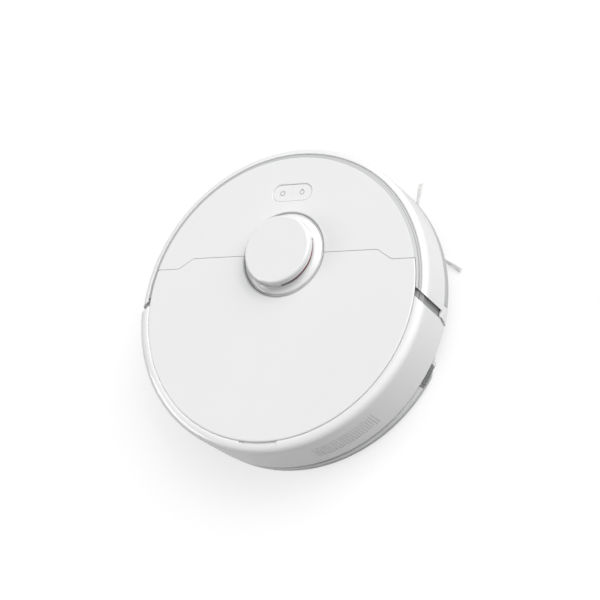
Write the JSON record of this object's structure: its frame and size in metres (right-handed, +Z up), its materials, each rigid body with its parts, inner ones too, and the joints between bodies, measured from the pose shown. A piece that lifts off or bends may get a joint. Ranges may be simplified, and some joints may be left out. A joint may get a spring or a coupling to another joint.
{
  "type": "robot vacuum",
  "caption": "Round white robot vacuum and mop with a raised lidar turret, sprung front bumper, hinged rear lid, side brush and slide-on mop module.",
  "frame": {"origin": "on the floor, under the middle of the round body", "axes": "+Z up, -Y is the way the robot drives, +X is its left side"},
  "size_m": [0.3548, 0.35, 0.0968],
  "materials": {
    "white_shell": "satin white moulded plastic with a fine grain",
    "white_gloss": "smooth glossy white rim plastic",
    "soft_grey": "light grey plastic",
    "bumper_strip_grey": "light grey soft strip",
    "chassis_dark": "dark grey textured plastic",
    "black_plastic": "black plastic",
    "window_black": "dark infrared window, polished",
    "laser_red": "dark red translucent accent",
    "smoke_tank": "smoke grey translucent plastic",
    "smoke_bin": "smoke grey clear plastic",
    "steel": "bright steel",
    "contact_metal": "plated contact",
    "circuit_board": "green solder mask",
    "filter_paper": "pleated filter paper",
    "battery_wrap": "blue shrink wrap",
    "tread_rubber": "black moulded rubber",
    "soft_rubber": "black soft rubber",
    "brush_rubber": "dark grey rubber fins",
    "bristle": "pale nylon bristles on a white hub",
    "mop_cloth": "grey microfibre cloth"
  },
  "bodies": {
    "base": {"chassis": "chassis_dark", "top_deck": "white_shell", "rear_housing": "white_gloss", "left_lid_pin": "steel", "right_lid_pin": "steel", "upper_tray": "soft_grey", "main_board": "circuit_board", "lidar_base": "chassis_dark", "lidar_motor": "steel", "lidar_belt": "soft_rubber", "dust_bin": "smoke_bin", "bin_cover": "chassis_dark", "bin_handle": "soft_grey", "filter_frame": "chassis_dark", "hepa_filter": "filter_paper", "fan_housing": "black_plastic", "fan_cover": "black_plastic", "fan_motor": "steel", "battery_pack": "battery_wrap", "battery_cover": "chassis_dark", "left_charge_contact": "contact_metal", "right_charge_contact": "contact_metal", "left_arm_pin": "steel", "right_arm_pin": "steel", "left_arm_spring": "steel", "right_arm_spring": "steel", "brush_housing": "black_plastic", "brush_motor": "black_plastic", "side_brush_motor": "black_plastic"},
    "bumper": {"bumper": "white_gloss", "bumper_strip": "bumper_strip_grey", "front_window": "window_black"},
    "lid": {"rear_lid": "white_shell"},
    "power_button": {"power_button": "white_shell"},
    "dock_button": {"dock_button": "white_shell"},
    "turret_cover": {"turret_base": "white_gloss", "turret_cap": "white_gloss", "turret_accent": "laser_red"},
    "lidar_head": {"lidar_head": "black_plastic", "lidar_window": "window_black"},
    "lidar_pulley": {"lidar_pulley": "soft_grey"},
    "fan_impeller": {"fan_impeller": "soft_grey"},
    "bin_flap": {"bin_flap": "soft_rubber"},
    "left_drive_arm": {"left_drive_arm": "black_plastic"},
    "right_drive_arm": {"right_drive_arm": "black_plastic"},
    "left_wheel": {"left_wheel_hub": "soft_grey", "left_tyre": "tread_rubber"},
    "right_wheel": {"right_wheel_hub": "soft_grey", "right_tyre": "tread_rubber"},
    "caster_fork": {"caster_fork": "black_plastic", "caster_axle": "steel"},
    "caster_wheel": {"caster_wheel": "soft_grey"},
    "main_brush": {"main_brush": "brush_rubber"},
    "brush_guard": {"brush_guard": "black_plastic"},
    "side_brush": {"side_brush": "bristle"},
    "mop_module": {"water_tank": "smoke_tank", "mop_plate": "smoke_tank", "mop_pad": "mop_cloth"},
    "left_mop_clip": {"left_mop_clip": "black_plastic"},
    "right_mop_clip": {"right_mop_clip": "black_plastic"}
  },
  "joints": [
    {"name": "bumper_press", "type": "slide", "parent": "base", "child": "bumper", "axis": [0, 1, 0], "range_m": [0, 0.003], "stiffness_N_per_m": 400, "springref_m": -0.004},
    {"name": "lid_hinge", "type": "hinge", "parent": "base", "child": "lid", "pos_m": [0, -0.0565, 0.0745], "axis": [1, 0, 0], "range_deg": [0, 75]},
    {"name": "power_press", "type": "slide", "parent": "base", "child": "power_button", "axis": [0, 0, -1], "range_m": [0, 0.0006], "stiffness_N_per_m": 300, "springref_m": -0.0008},
    {"name": "dock_press", "type": "slide", "parent": "base", "child": "dock_button", "axis": [0, 0, -1], "range_m": [0, 0.0006], "stiffness_N_per_m": 300, "springref_m": -0.0008},
    {"name": "turret_press", "type": "slide", "parent": "base", "child": "turret_cover", "axis": [0, 0, -1], "range_m": [0, 0.001], "stiffness_N_per_m": 800, "springref_m": -0.001},
    {"name": "lidar_spin", "type": "hinge", "parent": "base", "child": "lidar_head", "pos_m": [0, -0.0486, 0.07], "axis": [0, 0, 1], "continuous": true},
    {"name": "lidar_pulley_spin", "type": "hinge", "parent": "base", "child": "lidar_pulley", "pos_m": [-0.03, -0.095, 0.069], "axis": [0, 0, 1], "continuous": true},
    {"name": "fan_spin", "type": "hinge", "parent": "base", "child": "fan_impeller", "pos_m": [-0.088, 0.084, 0.045], "axis": [0, 0, 1], "continuous": true},
    {"name": "bin_flap_swing", "type": "hinge", "parent": "base", "child": "bin_flap", "pos_m": [0, 0.0436, 0.0516], "axis": [1, 0, 0], "range_deg": [0, 55]},
    {"name": "left_suspension", "type": "hinge", "parent": "base", "child": "left_drive_arm", "pos_m": [0.096, -0.048, 0.04], "axis": [-1, 0, 0], "range_deg": [0, 18], "stiffness_Nm_per_rad": 0.75, "springref_deg": 20.05},
    {"name": "left_wheel_spin", "type": "hinge", "parent": "left_drive_arm", "child": "left_wheel", "pos_m": [0.1125, 0, 0.033], "axis": [1, 0, 0], "continuous": true},
    {"name": "right_suspension", "type": "hinge", "parent": "base", "child": "right_drive_arm", "pos_m": [-0.096, -0.048, 0.04], "axis": [-1, 0, 0], "range_deg": [0, 18], "stiffness_Nm_per_rad": 0.75, "springref_deg": 20.05},
    {"name": "right_wheel_spin", "type": "hinge", "parent": "right_drive_arm", "child": "right_wheel", "pos_m": [-0.1125, 0, 0.033], "axis": [1, 0, 0], "continuous": true},
    {"name": "caster_swivel", "type": "hinge", "parent": "base", "child": "caster_fork", "pos_m": [0, -0.13, 0.036], "axis": [0, 0, 1], "continuous": true},
    {"name": "caster_roll", "type": "hinge", "parent": "caster_fork", "child": "caster_wheel", "pos_m": [0, -0.122, 0.0145], "axis": [1, 0, 0], "continuous": true},
    {"name": "main_brush_spin", "type": "hinge", "parent": "base", "child": "main_brush", "pos_m": [0, 0.002, 0.0232], "axis": [1, 0, 0], "continuous": true},
    {"name": "brush_guard_release", "type": "hinge", "parent": "base", "child": "brush_guard", "pos_m": [0, -0.027, 0.0096], "axis": [-1, 0, 0], "range_deg": [0, 60]},
    {"name": "side_brush_spin", "type": "hinge", "parent": "base", "child": "side_brush", "pos_m": [-0.116, -0.0858, 0.008], "axis": [0, 0, 1], "continuous": true, "deforming": ["side_brush"]},
    {"name": "mop_slide", "type": "slide", "parent": "base", "child": "mop_module", "axis": [0, 1, 0], "range_m": [0, 0.12]},
    {"name": "left_mop_release", "type": "slide", "parent": "mop_module", "child": "left_mop_clip", "axis": [-0.9085, -0.4179, 0], "range_m": [0, 0.002], "stiffness_N_per_m": 400, "springref_m": -0.0015},
    {"name": "right_mop_release", "type": "slide", "parent": "mop_module", "child": "right_mop_clip", "axis": [0.9085, -0.4179, 0], "range_m": [0, 0.002], "stiffness_N_per_m": 400, "springref_m": -0.0015}
  ],
  "couplings": [
    {"joint": "lidar_pulley_spin", "follows": "lidar_spin", "ratio": 5.8333}
  ]
}
